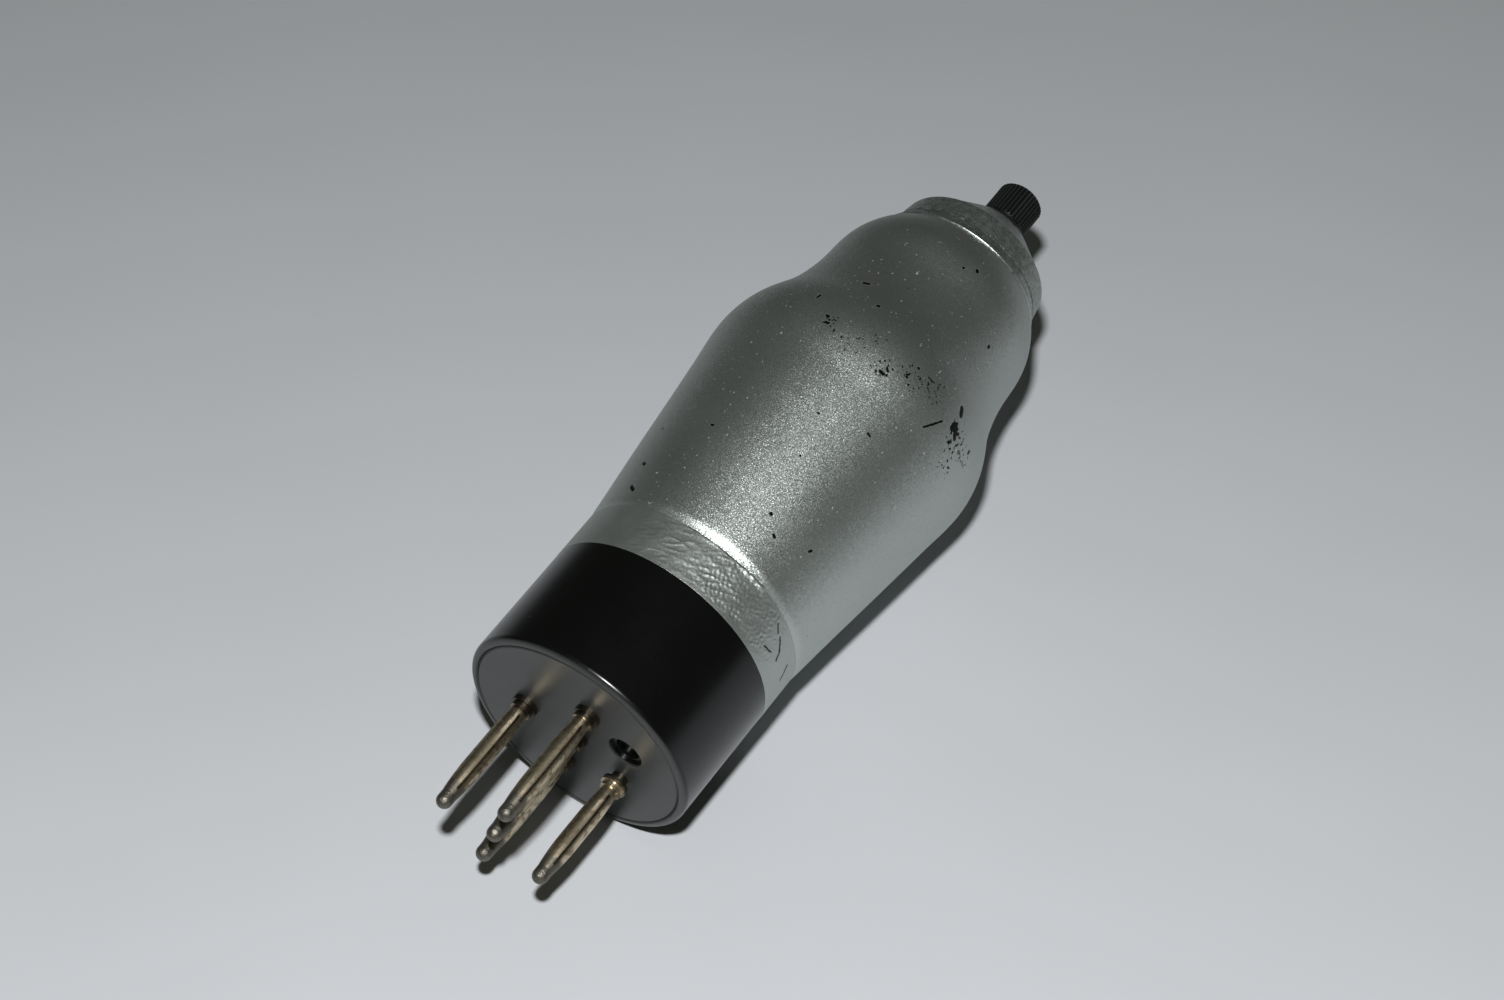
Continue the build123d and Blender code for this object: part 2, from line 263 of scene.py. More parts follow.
# ---- shader building ------------------------------------------------------------------------
class Wire:
    """One number on its way through a material: operators on it add Math nodes."""

    def __init__(self, finish, socket):
        self.finish = finish
        self.socket = socket

    def __add__(self, other):
        return self.finish.maths("ADD", self, other)

    def __sub__(self, other):
        return self.finish.maths("SUBTRACT", self, other)

    def __rsub__(self, other):
        return self.finish.maths("SUBTRACT", other, self)

    def __mul__(self, other):
        return self.finish.maths("MULTIPLY", self, other)

    def __truediv__(self, other):
        return self.finish.maths("DIVIDE", self, other)

    __radd__ = __add__
    __rmul__ = __mul__

    def swing(self, amount):
        """A 0 to 1 noise as a swing about 0, half the amount each way."""
        return (self - 0.5) * amount


class Finish:
    """A node material under construction, with patterns in object coordinates, in millimetres."""

    def __init__(self, name):
        self.material = bpy.data.materials.new(name)
        self.material.use_nodes = True
        self.tree = self.material.node_tree
        self.tree.nodes.clear()
        self.here = self.node("ShaderNodeTexCoord").outputs["Object"]

    def node(self, kind, settings=None, sockets=None):
        """Adds a node: its settings first, then the values or links of its sockets."""
        made = self.tree.nodes.new(kind)
        for key, value in (settings or {}).items():
            setattr(made, key, value)
        for key, value in (sockets or {}).items():
            self.feed(made.inputs[key], value)
        return made

    def feed(self, socket, value):
        """Links a wire or socket, or writes a plain value."""
        if isinstance(value, Wire):
            self.tree.links.new(value.socket, socket)
        elif isinstance(value, bpy.types.NodeSocket):
            self.tree.links.new(value, socket)
        else:
            socket.default_value = value

    def maths(self, operation, *values):
        """A Math node on two values."""
        made = self.node("ShaderNodeMath", {"operation": operation}, dict(enumerate(values)))
        return Wire(self, made.outputs[0])

    def vectors(self, operation, *values, output="Vector"):
        """A Vector Math node; returns the socket named by output."""
        made = self.node("ShaderNodeVectorMath", {"operation": operation}, dict(enumerate(values)))
        return made.outputs[output]

    def measured(self, operation, *values):
        """A Vector Math node that gives a number, such as a length."""
        return Wire(self, self.vectors(operation, *values, output="Value"))

    def scaled(self, vector, factor):
        """A vector times a number."""
        sockets = {"Vector": vector, "Scale": factor}
        made = self.node("ShaderNodeVectorMath", {"operation": "SCALE"}, sockets)
        return made.outputs["Vector"]

    def centred(self, colour):
        """A drawn colour of 0 to 1 as a vector that swings about zero."""
        return self.vectors("SUBTRACT", colour, (0.5, 0.5, 0.5))

    def rise(self, value, low, high):
        """Smooth step of a value from 0 at low to 1 at high."""
        sockets = {"Value": value, "From Min": low, "From Max": high}
        made = self.node("ShaderNodeMapRange", {"interpolation_type": "SMOOTHSTEP"}, sockets)
        return Wire(self, made.outputs["Result"])

    def textured(self, kind, size_mm, **sockets):
        """A texture node in object coordinates with features about size_mm across."""
        return self.node(kind, None, {"Vector": self.here, "Scale": 1 / (size_mm * MM), **sockets})

    def noise(self, size_mm, detail=2.0, roughness=0.5):
        """Noise whose features are about size_mm across, 0 to 1."""
        made = self.textured("ShaderNodeTexNoise", size_mm, Detail=detail, Roughness=roughness)
        return Wire(self, made.outputs[0])

    def cells(self, size_mm):
        """Voronoi cells about size_mm across: distance to the middle, and the cell's own colour."""
        made = self.textured("ShaderNodeTexVoronoi", size_mm)
        return Wire(self, made.outputs["Distance"]), made.outputs["Color"]

    def flakes(self, size_mm, lean):
        """Normal that leans at random from flake to flake, by up to about lean radians."""
        leaning = self.scaled(self.centred(self.cells(size_mm)[1]), 2 * lean)
        face = self.node("ShaderNodeNewGeometry").outputs["Normal"]
        return self.vectors("NORMALIZE", self.vectors("ADD", face, leaning))

    def from_face(self):
        """Where the surface is, counted from the middle of the base's flat end."""
        return self.vectors("SUBTRACT", self.here, tuple(FACE_CENTRE))

    def height_mm(self):
        """Height along the valve from the flat end of the base, in millimetres."""
        return self.measured("DOT_PRODUCT", self.from_face(), tuple(AXIS)) / MM

    def radius_mm(self):
        """Distance from the valve's axis, in millimetres."""
        across = self.vectors("CROSS_PRODUCT", self.from_face(), tuple(AXIS))
        return self.measured("LENGTH", across) / MM

    def red_of(self, colour):
        """The red share of a colour."""
        made = self.node("ShaderNodeSeparateColor", None, {"Color": colour})
        return Wire(self, made.outputs[0])

    def shaken(self, size_mm, reach_mm):
        """Object coordinates moved about by noise, so that edges drawn with them are uneven."""
        jitter = self.textured("ShaderNodeTexNoise", size_mm, Detail=2.0).outputs["Color"]
        return self.vectors("ADD", self.here, self.scaled(self.centred(jitter), 2 * reach_mm * MM))

    def stroke(self, first, last, width_mm, at):
        """Mask of a short stroke between two points: 1 on it, 0 past half its width."""
        along = Vector(last) - Vector(first)
        reach = max(along.length_squared, 1e-12)
        offset = self.vectors("SUBTRACT", at, tuple(first))
        share = self.measured("DOT_PRODUCT", offset, tuple(along)) / reach
        clamped = self.node("ShaderNodeClamp", None, {"Value": share}).outputs[0]
        away = self.measured("DISTANCE", offset, self.scaled(tuple(along), clamped))
        half = width_mm * MM / 2
        return 1 - self.rise(away, half * 0.75, half * 1.25)

    def strokes(self, marks, radius_at, at):
        """Mask of strokes on the skin, each as (height, turn, height, turn, width)."""
        return self.largest([
            self.stroke(spot(h0, t0, radius_at(h0)), spot(h1, t1, radius_at(h1)), width, at)
            for h0, t0, h1, t1, width in marks])

    def blots(self, size_mm, near):
        """Mask of irregular blots: none where near is 0, more and larger ones as it grows."""
        level = self.noise(size_mm) + near * 0.16
        return self.rise(level, low=0.765, high=0.78)

    def patch(self, centre, radius_mm):
        """Soft round patch: 1 out to two fifths of its radius, 0 at all of it."""
        away = self.measured("DISTANCE", self.here, tuple(centre))
        return 1 - self.rise(away, 0.4 * radius_mm * MM, radius_mm * MM)

    def largest(self, masks):
        """The largest of several masks."""
        total = masks[0]
        for mask in masks[1:]:
            total = self.maths("MAXIMUM", total, mask)
        return total

    def blend(self, factor, first, second):
        """Colour mixed from first to second by a factor; a Mix node's colours are inputs 6 and 7."""
        made = self.node("ShaderNodeMix", {"data_type": "RGBA"}, {0: factor, 6: first, 7: second})
        return made.outputs[2]

    def bump(self, height, distance_mm, strength=1.0, under=None):
        """Normal from a height in 0 to 1 that stands for distance_mm."""
        sockets = {"Height": height, "Distance": distance_mm * MM, "Strength": strength}
        if under is not None:
            sockets["Normal"] = under
        return self.node("ShaderNodeBump", None, sockets).outputs["Normal"]

    def done(self, **sockets):
        """Closes the material with a Principled shader and returns it."""
        named = {key.replace("_", " "): value for key, value in sockets.items()}
        shader = self.node("ShaderNodeBsdfPrincipled", None, named)
        self.node("ShaderNodeOutputMaterial", None, {"Surface": shader.outputs[0]})
        return self.material


def dress(node, material):
    """Gives a CAD node's object a finish."""
    piece = frame["nodes"][node]
    piece.data.materials.clear()
    piece.data.materials.append(material)


def opaque(colour):
    """A colour as the four numbers that a colour socket takes."""
    return (*colour, 1.0)


# ---- finishes -------------------------------------------------------------------------------
# Chips in the spray as (height, turn, height, turn, width) in millimetres and degrees: the
# larger specks, and the scratches and the star beside the crown.
CHIPS = [
    (30.2, -37, 29.5, -34, 0.68), (34.6, -40, 34.2, -38, 0.62), (41.1, -43, 41.1, -43, 0.55),
    (42.4, -17, 42.4, -16, 0.48), (44.6, 22, 44.6, 22, 0.36), (51.3, 17, 51.3, 17, 0.47),
    (35.2, 28, 35.3, 28, 0.54), (33.2, 34.6, 33.1, 35.3, 0.52), (35.6, 50.9, 35.9, 51.4, 0.52),
    (53.85, 36.5, 53.78, 37.7, 0.42), (65.1, -4, 65.1, -3.4, 0.58), (64.0, -2.6, 64.0, -1.6, 0.58),
    (68.4, -13, 67.8, -13, 0.55), (75.2, -5.8, 75.4, -4.2, 0.80), (71.5, 8, 71.5, 8, 0.85),
    (62.0, 25, 62.0, 26.4, 0.62), (63.1, 26, 62.8, 27, 0.42), (66.6, 35, 66.6, 35, 0.58),
    (64.0, 55, 61.0, 51, 0.40), (68.5, 59.0, 67.6, 60.2, 0.95), (87.8, 24, 87.8, 24, 0.58),
    (89.1, 30, 88.9, 30.5, 0.65), (81.9, 59, 81.7, 59, 0.65), (66.2, 75, 65.9, 75, 0.58),
    (65.6, 60.6, 65.2, 61.6, 1.15), (64.6, 63.4, 64.4, 64.4, 0.75), (65.0, 63.6, 65.4, 64.4, 0.55),
]
# Places where the spray is peppered with small chips, as (height, turn, radius, how bare).
PEPPERED = [
    (64.4, -1, 3.0, 0.92), (62.3, 7, 3.0, 1.0), (64.5, 16, 4.0, 0.85), (62.8, 25, 2.7, 1.14),
    (64.6, 35, 3.4, 1.12), (66.2, 45, 3.8, 1.02), (65.3, 61, 1.6, 2.0), (64.4, 66, 3.6, 1.2),
    (64.6, 74, 3.4, 1.05), (60.4, 70, 2.6, 0.95),
]
# Light rubbed lines on the flank, and cracks in the contact strip, both laid out as the chips; the
# strip's last four strokes are a painted shadow line along its upper edge, under the glass's
# shoulder.
RUBBED = [
    (57.9, 36.5, 56.7, 38, 0.24), (57.5, 38, 56.3, 39.5, 0.24), (60.3, 40.5, 59.1, 41, 0.24),
    (58.4, 35.5, 57.6, 36.5, 0.24),
]
# the first five strokes are cracks; the last four are a painted shadow line along the strip's upper
# edge
CRACKS_AND_EDGE_SHADOW = [
    (24.8, 70, 23.9, 75, 0.34), (23.9, 75, 22.8, 78, 0.38), (24.6, 88, 22.8, 92, 0.38),
    (21.8, 66, 22.4, 71, 0.28), (25.6, 64, 24.8, 67, 0.28), (26.72, 4, 26.72, 14, 0.14),
    (26.72, 14, 26.70, 24, 0.18), (26.70, 24, 26.72, 34, 0.20), (26.72, 34, 26.60, 43, 0.24),
]
# Where the strip's creases are deepest, as (height, turn, radius from the axis), and how far out.
CREASED_AT, CREASED_REACH = (23.0, 28, 17.9), 17.0


def crown_to_dome(steps):
    """The bulb's outline from the end of the flank over crown, waist and head."""
    return smooth_curve(CROWN_TO_DOME, FLANK_RISE, (-1, 0.08), steps)


def skin_radius(height):
    """Radius of the bulb's outer wall at a height, read from its outline."""
    wall = joined(run(SHOULDER, FLANK_TOP, 8), crown_to_dome(90))
    return float(np.interp(height, wall[:, 1], wall[:, 0]))


def spray_coat(finish, look, dark, light, shade):
    """Colour of the metal coat: dark to light shares of the spray's own, by a shade of 0 to 1."""
    low = tuple(min(c * dark, 1.0) for c in look.spray)
    high = tuple(min(c * light, 1.0) for c in look.spray)
    return finish.blend(shade, opaque(low), opaque(high))


def sprayed_metal(look):
    """Metal spray on glass: satin flake with fine grain, a few chips and peppered patches."""
    finish = Finish("sprayed_metal")
    grain = finish.noise(0.25, detail=3.0, roughness=0.6)
    cloud = finish.noise(9.0, detail=3.0)
    ragged = finish.shaken(0.4, reach_mm=0.12)
    near = finish.largest([
        finish.patch(spot(height, turn, skin_radius(height)), radius_mm) * bareness
        for height, turn, radius_mm, bareness in PEPPERED])
    chips = finish.strokes(CHIPS, skin_radius, ragged)
    bare = finish.largest([chips, finish.blots(0.5, near)])
    speck = finish.rise(finish.noise(0.55, detail=2.0), low=0.70, high=0.73)
    rubbed = finish.strokes(RUBBED, skin_radius, ragged)
    shade = grain.swing(0.8) + cloud.swing(0.2) + rubbed * 0.9 + 0.5
    silver = spray_coat(finish, look, 0.78, 1.22, shade)
    flakes = finish.flakes(0.06, lean=(1 - bare) * 0.202)
    return finish.done(
        Base_Color=finish.blend(bare, silver, opaque(look.undercoat)),
        Metallic=0.95 - bare * 0.95 - speck * (1 - bare) * 0.5,
        Roughness=0.38 + cloud.swing(0.06) - bare * 0.20,
        Specular_Tint=opaque(look.edge),
        Specular_IOR_Level=0.25,
        Normal=finish.bump(grain - bare * 1.2, distance_mm=0.012, strength=0.8, under=flakes),
    )


def crinkled_metal(look):
    """Metal spray over the contact strip: duller, creased, cracked near its upper edge, and with a
    painted shadow line along part of that edge.
    """
    finish = Finish("crinkled_metal")
    grain = finish.noise(0.2, detail=3.0, roughness=0.6)
    cloud = finish.noise(3.0, detail=3.0)
    creased = finish.noise(0.6, detail=4.0, roughness=0.65)
    creased = creased * finish.patch(spot(*CREASED_AT), CREASED_REACH)
    ragged = finish.shaken(0.9, reach_mm=0.22)
    # dark strokes: real cracks, and a painted shadow line along the strip's upper edge
    split = finish.strokes(CRACKS_AND_EDGE_SHADOW, lambda height: STRIP_R, ragged)
    shade = grain.swing(0.4) + cloud.swing(0.3) + 0.5
    silver = spray_coat(finish, look, 0.72, 1.12, shade)
    relief = grain * 0.15 + cloud * 0.15 + creased * 0.7 - split * 0.5
    flakes = finish.flakes(0.06, lean=0.12)
    return finish.done(
        Base_Color=finish.blend(split, silver, opaque(look.undercoat)),
        Metallic=0.92 - split * 0.9,
        Roughness=0.44 + cloud.swing(0.12),
        Specular_Tint=opaque(look.edge),
        Normal=finish.bump(relief, distance_mm=0.07, under=flakes),
    )


def sprayed_moulding(look, name, tone, gloss=0.40, lumps_mm=0.26, bare_above=ABOVE_ALL_Z):
    """Metal spray over the cap or the cement: lumpier than on glass, and bare above a height."""
    finish = Finish(name)
    grain = finish.noise(0.25, detail=3.0, roughness=0.6)
    lump = finish.noise(0.9, detail=3.0, roughness=0.55)
    shade = grain.swing(1.8) + lump.swing(1.2) + 0.5
    silver = spray_coat(finish, look, 0.58 * tone, 1.35 * tone, shade)
    bare = finish.rise(finish.height_mm() + lump.swing(3.0), bare_above, bare_above + 0.4)
    flakes = finish.flakes(0.06, lean=0.12)
    return finish.done(
        Base_Color=finish.blend(bare, silver, opaque(BARE_CAP)),
        Metallic=0.95 - bare * 0.95,
        Roughness=gloss + lump.swing(0.2),
        Specular_Tint=opaque(look.edge),
        Normal=finish.bump(grain * 0.3 + lump * 0.7, distance_mm=lumps_mm, under=flakes),
    )


def polished_moulding(look):
    """Black thermoset moulding: polished, a little dusty, with a duller flat end whose greyer colour
    is a painted reflection of the table.
    """
    finish = Finish("polished_moulding")
    flow = finish.noise(5.0, detail=4.0, roughness=0.6)
    scuff = finish.noise(0.35, detail=4.0, roughness=0.7)
    dust, drawn = finish.cells(2.2)
    chosen = finish.rise(finish.red_of(drawn), low=0.7, high=0.75)
    mote = finish.rise(0.045 - dust, low=0.0, high=0.02) * chosen
    face = 1 - finish.rise(finish.height_mm(), low=0.1, high=0.5)
    # painted reflection: the flat end is drawn greyer, as it looks where it mirrors the table
    black = finish.blend(face, opaque(look.moulding), opaque(END_FACE_REFLECTION))
    return finish.done(
        Base_Color=finish.blend(mote * 0.5, black, opaque(DUST)),
        Metallic=0.0,
        Roughness=0.25 + flow.swing(0.10) + scuff.swing(0.10) + mote * 0.4 + face * 0.12,
        Normal=finish.bump(flow * 0.7 + scuff * 0.3, distance_mm=0.015, strength=0.5),
        IOR=1.48,
    )


def knurled_moulding(look):
    """Black moulded nut, with a painted highlight that makes the outer ridges of its knurl greyer.
    """
    finish = Finish("knurled_moulding")
    grain = finish.noise(0.3, detail=4.0, roughness=0.6)
    # painted highlight: the outer ridges of the knurl are drawn greyer than the grooves
    lit_ridges = finish.rise(finish.radius_mm(), low=3.50, high=3.64)
    return finish.done(
        Base_Color=finish.blend(grain * 0.2 + lit_ridges * 0.6, opaque(look.moulding), opaque(KNURL_HIGHLIGHT)),
        Metallic=0.0,
        Roughness=0.30 + grain.swing(0.3),
        Normal=finish.bump(grain, distance_mm=0.02, strength=0.6),
    )


def worn_nickel(look):
    """Nickel plate on brass, brown in patches, with grey soldered tips, and painted shade darkening
    the collars where they meet the base's face.
    """
    finish = Finish("worn_nickel")
    stain = finish.noise(1.0, detail=4.0, roughness=0.7)
    pit = finish.noise(0.25, detail=3.0, roughness=0.6)
    browned = finish.rise(stain, low=0.42, high=0.62)
    plate = finish.blend(browned, opaque(look.nickel), opaque(look.tarnish))
    height = finish.height_mm()
    tinned = 1 - finish.rise(height + stain * 2.4, low=-14.8, high=-13.9)
    # painted shade: the collars are drawn darker towards the base's face, where they meet it
    shaded_collars = finish.rise(height + stain * 1.5, low=-1.35, high=-0.45)
    tip = finish.blend(pit, opaque(PIN_TIP), opaque(PIN_TIP_DARK))
    return finish.done(
        Base_Color=finish.blend(shaded_collars * 0.9, finish.blend(tinned, plate, tip), opaque(COLLAR_SHADE)),
        Metallic=1.0,
        Roughness=0.34 + pit.swing(0.3) + browned * 0.10 + tinned * 0.14,
        Normal=finish.bump(pit * 0.4 + stain * 0.6, distance_mm=0.035, strength=0.8),
    )


def plain_metal(name, colour, dark, roughness, relief_mm=0.06):
    """Small metal part with slight tarnish: brass, solder or wire."""
    finish = Finish(name)
    stain = finish.noise(0.9, detail=4.0, roughness=0.6)
    return finish.done(
        Base_Color=finish.blend(stain, opaque(colour), opaque(dark)),
        Metallic=0.95,
        Roughness=roughness + stain.swing(0.25),
        Normal=finish.bump(stain, distance_mm=relief_mm, strength=0.8),
    )


# ---- settings a user would change -----------------------------------------------------------
def colour_setting(name, description, default):
    """A colour property of a settings group."""
    return FloatVectorProperty(name=name, description=description, subtype="COLOR",
                               default=default, min=0.0, max=1.0)


class ValveLook(bpy.types.PropertyGroup):
    """Colours and finish of the valve, and the size of its crinkles."""

    spray: colour_setting("Metal spray", "Colour of the sprayed metal coat",
                          (0.528, 0.568, 0.545))
    edge: colour_setting("Spray at a glance", "Tint of the coat where it is seen edge on",
                         (0.71, 0.71, 0.71))
    undercoat: colour_setting("Undercoat", "Colour that shows where the spray has chipped",
                              (0.004, 0.004, 0.0035))
    moulding: colour_setting("Moulding", "Colour of the base and the terminal nut",
                             (0.0018, 0.0021, 0.0020))
    nickel: colour_setting("Pin plating", "Colour of the plating on the plug pins",
                           (0.62, 0.54, 0.39))
    tarnish: colour_setting("Pin tarnish", "Colour of the brown patches on the pins",
                            (0.27, 0.215, 0.14))
    crinkle: FloatProperty(name="Crinkle height", unit="LENGTH",
                           description="How far the wrinkles of the contact strip stand up",
                           default=0.055 * MM, min=0.0, max=0.4 * MM)
    columns: IntProperty(name="Steps round", description="Number of facets round the bulb",
                         default=288, min=48, max=512)


class StageLook(bpy.types.PropertyGroup):
    """Table, lamp, even light and camera."""

    table: colour_setting("Table", "Colour of the table", (0.554, 0.573, 0.600))
    reach: FloatProperty(name="Table reach", description="Half width of the table",
                         unit="LENGTH", default=0.9, min=0.2, max=3.0)
    key: FloatProperty(name="Key lamp", description="Power of the lamp over the camera",
                       unit="POWER", default=3.07, min=0.0, max=100.0)
    key_size: FloatProperty(name="Key size", description="Width of the lamp over the camera",
                            unit="LENGTH", default=0.03, min=0.005, max=1.0)
    ambient: FloatProperty(name="Ambient", description="Strength of the even light",
                           default=0.04, min=0.0, max=2.0)
    room: colour_setting("Room", "Colour of the even light, a little green",
                         (0.93, 1.0, 0.80))
    lens: FloatProperty(name="Lens", description="Focal length of the camera", unit="CAMERA",
                        default=83.78)


# ---- pieces ---------------------------------------------------------------------------------
class VALVE_OT_bulb(bpy.types.Operator):
    """Sprayed bulb, from the stem's flat end round the neck and up to the pip"""

    bl_idname = "valve.bulb"
    bl_label = "Bulb"

    def execute(self, context):
        look = context.scene.valve_look
        outline = joined(
            run((0.0, STEM_TOP[1]), STEM_TOP, 3), run(STEM_TOP, STEM_MOUTH, 6),
            bent(STEM_MOUTH, NECK_SEAL, NECK_FOOT, 10), run(NECK_FOOT, NECK_TOP, 6),
            smooth_curve([NECK_TOP, SEAT, SHOULDER], (0, 1), FLANK_RISE, 30),
            run(SHOULDER, FLANK_TOP, 60), crown_to_dome(140),
            run(CROWN_TO_DOME[-1], PIP, 3), run(PIP, (0.0, PIP[1]), 3),
        )

        def unevenness(height, turn):
            """Hand-worked glass: slow waves on the outer wall, about 0.06 mm inwards at most."""
            outer = step_up(height, 29.0, 36.0)
            slow = waves(height, turn, seed=11, count=9, lobes=3, pitch=24.0)
            return 0.03 * outer * (slow - 1.0)

        piece = turned_skin("bulb_skin", outline, look.columns, "valve", unevenness)
        piece.data.materials.append(sprayed_metal(look))
        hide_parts("bulb")
        return {"FINISHED"}


class VALVE_OT_strip(bpy.types.Operator):
    """Contact strip with its crinkles and torn upper edge"""

    bl_idname = "valve.strip"
    bl_label = "Contact strip"

    def execute(self, context):
        look = context.scene.valve_look
        # The wall lies just inside the solid's, and its upper edge is rounded from brow to edge_r.
        wall_r, edge_r, inner_r = STRIP_R - 0.02, STRIP_R - 0.14, REBATE_R + 0.005
        foot, brow = REBATE_Z + 0.02, STRIP_TOP_Z - 0.12
        outline = joined(
            run((wall_r, REBATE_Z), (wall_r, foot), 2), run((wall_r, foot), (wall_r, brow), 64),
            bent((wall_r, brow), (STRIP_R - 0.06, STRIP_TOP_Z - 0.02), (edge_r, STRIP_TOP_Z), 5),
            run((edge_r, STRIP_TOP_Z), (inner_r, STRIP_TOP_Z), 2),
            run((inner_r, STRIP_TOP_Z), (inner_r, REBATE_Z), 10),
        )

        def crinkles(height, turn):
            """Ripples where a warped random field crosses zero, with pebbles and a torn upper lip.

            The ripples are full within 25 degrees of a turn of 30 and nearly gone 62 degrees from
            it. The pebbles run from 25 degrees before it to 60 past it. Both end at the edges.
            """
            warp = waves(height, turn, seed=5, count=14, lobes=16, pitch=4.0)
            warped = height + 0.4 * warp, turn + 0.05 * warp
            ripples = 1 - np.abs(waves(*warped, seed=7, count=40, lobes=40, pitch=1.5)) * 2.2
            pebbles = waves(height, turn, seed=9, count=60, lobes=170, pitch=0.6)
            gap = turn_gap(turn, 30.0)
            zone = step_up(-np.abs(gap), -62.0, -25.0) * 0.9 + 0.1
            rough = step_up(gap, -25.0, 5.0) * (1 - step_up(gap, 35.0, 60.0))
            rising, falling = step_up(height, REBATE_Z, REBATE_Z + 1.4), step_up(height, 26.2, 26.8)
            on_strip = rising * (1 - falling)
            raised = 0.6 * np.clip(ripples, -0.6, 1.0) + 0.8 * rough * pebbles
            torn = step_up(gap, 0.0, 8.0) * (1 - step_up(turn_gap(turn, 46.0), 0.0, 5.0))
            uneven = 0.2 + 0.12 * waves(height, turn, seed=13, count=30, lobes=110, pitch=2.0)
            lip = torn * step_up(height, 26.1, 26.5) * uneven
            return look.crinkle / MM * zone * on_strip * (raised - 0.5) - 0.01 + lip

        piece = turned_skin("contact_strip_skin", outline, STRIP_COLUMNS, "valve", crinkles,
                            closed=True)
        piece.data.materials.append(crinkled_metal(look))
        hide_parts("contact_strip")
        return {"FINISHED"}


class VALVE_OT_base(bpy.types.Operator):
    """Polished moulded base and the cement in its mouth"""

    bl_idname = "valve.base"
    bl_label = "Base and cement"

    def execute(self, context):
        look = context.scene.valve_look
        dress("base_shell", polished_moulding(look))
        dress("base_cement", sprayed_moulding(look, "sprayed_base_cement", 0.85))
        return {"FINISHED"}


class VALVE_OT_cap(bpy.types.Operator):
    """Sprayed top cap and the cement squeezed out under its rim"""

    bl_idname = "valve.cap"
    bl_label = "Top cap and its cement"

    def execute(self, context):
        look = context.scene.valve_look
        dress("top_cap", sprayed_moulding(look, "sprayed_cap", 0.92, bare_above=SPRAY_STOPS_Z))
        below, lower, outer, upper = np.array(BEAD_CENTRE) + BEAD_R * np.array(
            [(0.0, -1.0), (0.7071, -0.7071), (1.0, 0.0), (0.5, 0.866)])
        outline = joined(
            bent(below, lower, outer, 9), bent(outer, upper, CEMENT_LIP, 7),
            run(CEMENT_LIP, CEMENT_TOP, 6), run(CEMENT_TOP, CEMENT_INNER, 3),
            run(CEMENT_INNER, below, 8),
        )[:-1]

        def squeezed(height, turn):
            """Cement that stands out a little more in some places than in others."""
            return 0.02 * waves(height, turn, seed=17, count=12, lobes=9, pitch=6.0)

        piece = turned_skin("cap_cement_skin", outline, CEMENT_COLUMNS, "valve", squeezed,
                            closed=True)
        sprayed = sprayed_moulding(look, "sprayed_cap_cement", 0.9, gloss=0.35, lumps_mm=0.02)
        piece.data.materials.append(sprayed)
        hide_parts("cap_cement")
        return {"FINISHED"}


class VALVE_OT_terminal(bpy.types.Operator):
    """Knurled nut, its insert, the washer and the stud"""

    bl_idname = "valve.terminal"
    bl_label = "Top terminal"

    def execute(self, context):
        look = context.scene.valve_look
        dress("terminal_nut", knurled_moulding(look))
        brass = plain_metal("turned_brass", BRASS, BRASS_DARK, 0.32)
        for node in ("nut_insert", "terminal_washer", "terminal_stud"):
            dress(node, brass)
        return {"FINISHED"}


class VALVE_OT_pins(bpy.types.Operator):
    """Plug pins, the solder in their tips and all the lead wires"""

    bl_idname = "valve.pins"
    bl_label = "Pins, solder and leads"

    def execute(self, context):
        look = context.scene.valve_look
        nickel = worn_nickel(look)
        solder = plain_metal("dull_solder", SOLDER, SOLDER_DARK, 0.45, relief_mm=0.25)
        wire = plain_metal("tinned_wire", TINNED, TINNED_DARK, 0.35)
        for node in frame["nodes"]:
            if node.startswith("pin_"):
                dress(node, nickel)
            elif node.startswith("solder_"):
                dress(node, solder)
            elif "lead" in node:
                dress(node, wire)
        return {"FINISHED"}


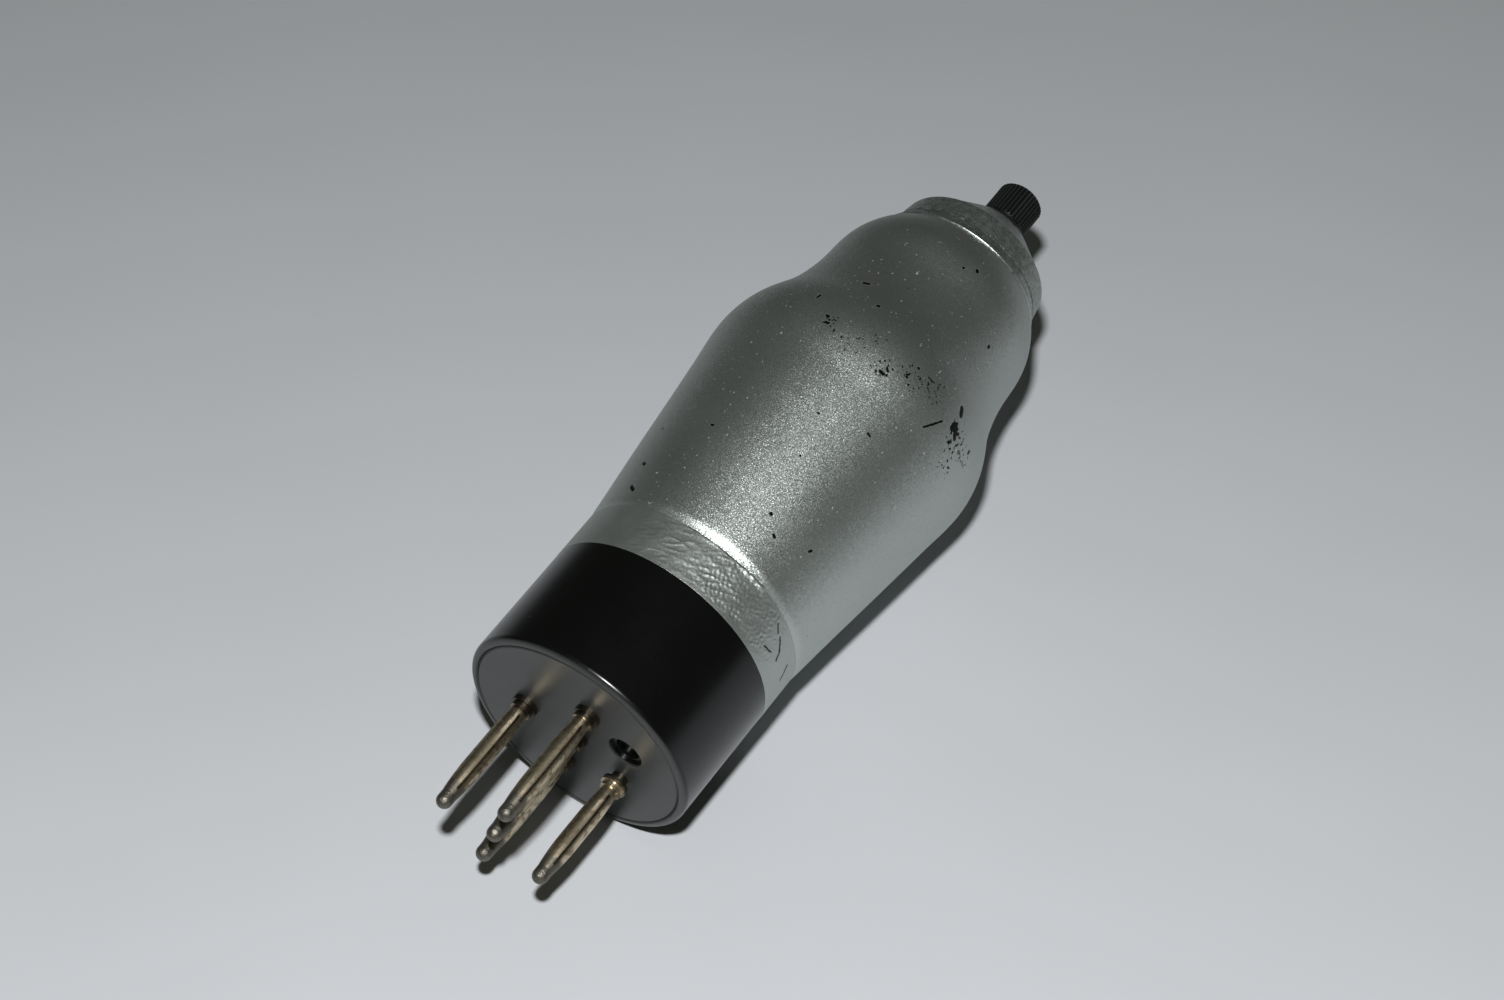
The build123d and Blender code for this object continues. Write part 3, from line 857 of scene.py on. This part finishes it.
class VALVE_OT_stage(bpy.types.Operator):
    """Pale table, one soft lamp over the camera, even ambient light and the camera"""

    bl_idname = "valve.stage"
    bl_label = "Stage"

    def execute(self, context):
        look = context.scene.stage_look
        self.lay_table(look)
        self.set_camera(context, look)
        self.light(context, look)
        return {"FINISHED"}

    def lay_table(self, look):
        """Flat square at floor level with a faint mottle."""
        side = np.array([(-1, -1), (1, -1), (1, 1), (-1, 1)]) * look.reach
        corners = np.column_stack([side, np.zeros(4)])
        mesh = bpy.data.meshes.new("table")
        mesh.from_pydata(corners.tolist(), [], [(0, 1, 2, 3)])
        table = bpy.data.objects.new("table", mesh)
        bpy.context.scene.collection.objects.link(table)
        finish = Finish("table_top")
        mottle = finish.noise(40.0, detail=3.0)
        low = tuple(c * 0.97 for c in look.table)
        high = tuple(c * 1.03 for c in look.table)
        table.data.materials.append(finish.done(
            Base_Color=finish.blend(mottle, opaque(low), opaque(high)),
            Roughness=0.55,
        ))

    def set_camera(self, context, look):
        """Camera over the pin end, looking down along the valve."""
        eye = Vector(FACE_CENTRE) + Vector(CAMERA_FROM_FACE) * MM
        ahead = Vector(CAMERA_GAZE).normalized()
        right = ahead.cross(Vector((0, 0, 1))).normalized()
        above = right.cross(ahead)
        camera_data = bpy.data.cameras.new("camera")
        camera_data.lens = look.lens
        camera_data.sensor_width = SENSOR_MM
        camera = bpy.data.objects.new("camera", camera_data)
        axes = Matrix((right, above, -ahead)).transposed().to_4x4()
        camera.matrix_world = Matrix.Translation(eye) @ axes
        context.scene.collection.objects.link(camera)
        context.scene.camera = camera

    def light(self, context, look):
        """Key lamp just above the camera; the world gives the rest."""
        camera = context.scene.camera.matrix_world
        lamp_data = bpy.data.lights.new("key_lamp", "AREA")
        lamp_data.shape = "DISK"
        lamp_data.size = look.key_size
        lamp_data.energy = look.key
        lamp = bpy.data.objects.new("key_lamp", lamp_data)
        where = camera @ Vector(LAMP_FROM_CAMERA)
        turned = (Vector(LAMP_AIM) - where).to_track_quat("-Z", "Y")
        lamp.matrix_world = Matrix.Translation(where) @ turned.to_matrix().to_4x4()
        context.scene.collection.objects.link(lamp)
        world = bpy.data.worlds.new("room")
        world.use_nodes = True
        backdrop = world.node_tree.nodes["Background"]
        backdrop.inputs["Color"].default_value = opaque(look.room)
        backdrop.inputs["Strength"].default_value = look.ambient
        context.scene.world = world
        context.scene.view_settings.view_transform = "Standard"


class VALVE_PT_panel(bpy.types.Panel):
    """Sidebar panel with the valve's settings and the operators that build it"""

    bl_idname = "VALVE_PT_panel"
    bl_label = "Sprayed valve"
    bl_space_type = "VIEW_3D"
    bl_region_type = "UI"
    bl_category = "Valve"

    def draw(self, context):
        for group in (context.scene.valve_look, context.scene.stage_look):
            box = self.layout.box()
            for name in group.__annotations__:
                box.prop(group, name)
        for step in STEPS:
            self.layout.operator(step.bl_idname)


STEPS = (VALVE_OT_bulb, VALVE_OT_strip, VALVE_OT_base, VALVE_OT_cap, VALVE_OT_terminal,
         VALVE_OT_pins, VALVE_OT_stage)
CLASSES = (ValveLook, StageLook, *STEPS, VALVE_PT_panel)


def register():
    for item in CLASSES:
        bpy.utils.register_class(item)
    bpy.types.Scene.valve_look = PointerProperty(type=ValveLook)
    bpy.types.Scene.stage_look = PointerProperty(type=StageLook)


def unregister():
    del bpy.types.Scene.stage_look
    del bpy.types.Scene.valve_look
    for item in reversed(CLASSES):
        bpy.utils.unregister_class(item)


def main():
    """Registers the add-on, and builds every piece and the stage."""
    register()
    for step in STEPS:
        family, name = step.bl_idname.split(".")
        getattr(getattr(bpy.ops, family), name)()


if __name__ == "__main__":
    main()
